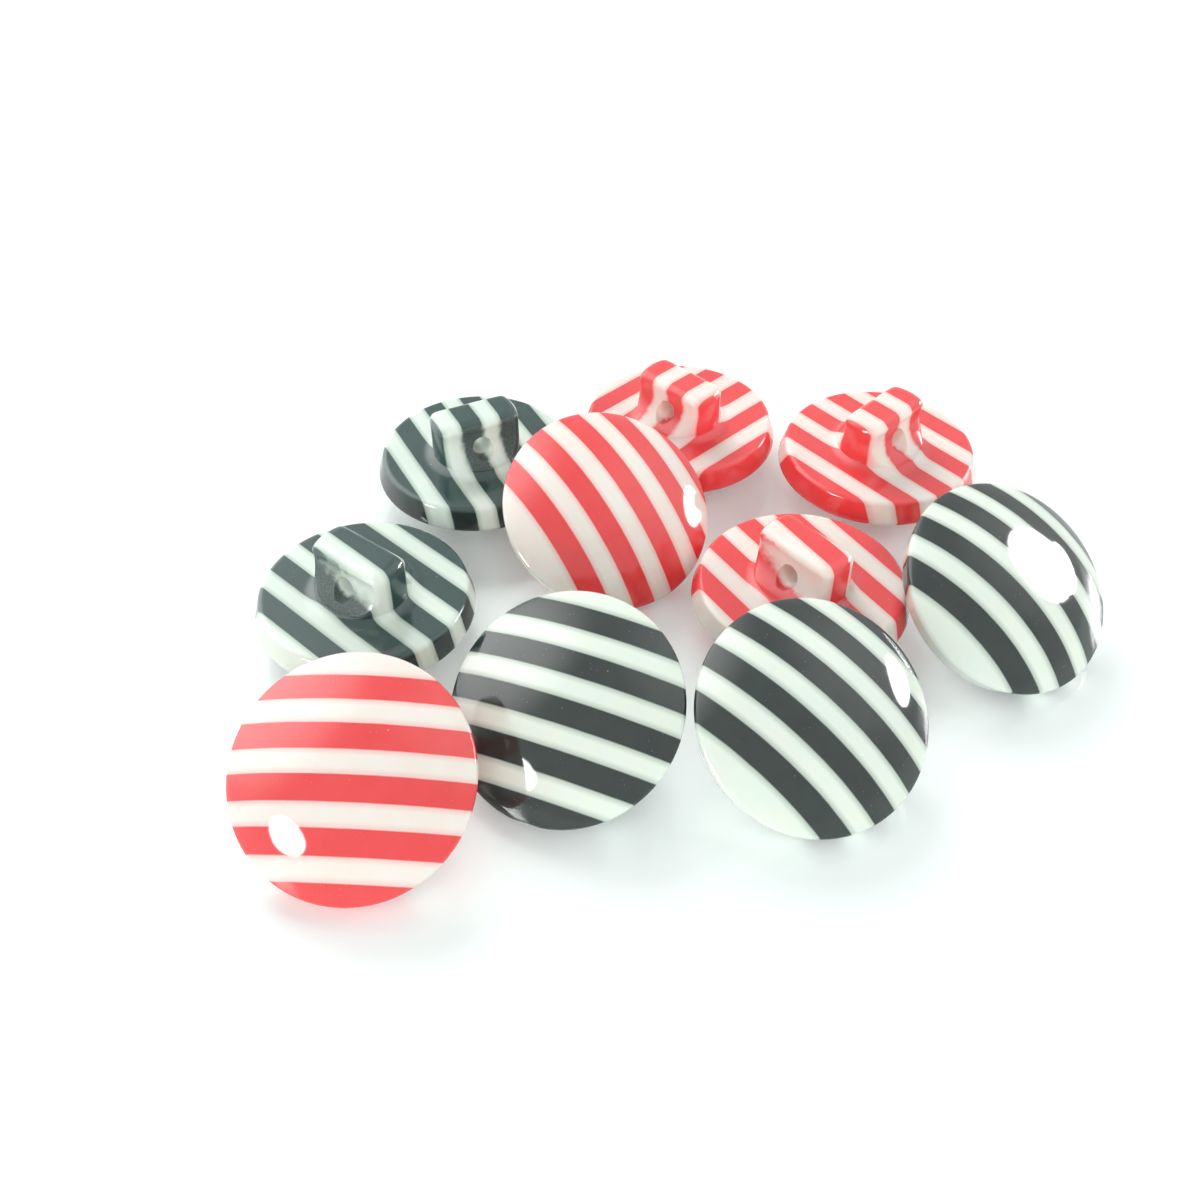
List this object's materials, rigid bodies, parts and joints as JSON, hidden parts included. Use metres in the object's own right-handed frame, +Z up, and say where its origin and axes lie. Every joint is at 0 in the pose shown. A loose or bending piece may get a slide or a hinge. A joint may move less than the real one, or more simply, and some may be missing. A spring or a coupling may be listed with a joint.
{
  "type": "set of shank buttons",
  "caption": "Set of round domed resin buttons in striped red and black, each with a milled shank on the back and a thread hole through it for sewing on.",
  "frame": {"origin": "on the table, under the middle of the set's box", "axes": "+Z up from the table, +Y to the back of the set, +X to the right of someone facing it"},
  "size_m": [0.0692, 0.06, 0.0107],
  "materials": {
    "red_resin": "polished",
    "black_resin": "polished"
  },
  "bodies": {
    "root": {"red_button_1": "red_resin", "red_button_2": "red_resin", "red_button_3": "red_resin", "red_button_4": "red_resin", "red_button_5": "red_resin", "black_button_1": "black_resin", "black_button_2": "black_resin", "black_button_3": "black_resin", "black_button_4": "black_resin", "black_button_5": "black_resin"}
  },
  "joints": []
}
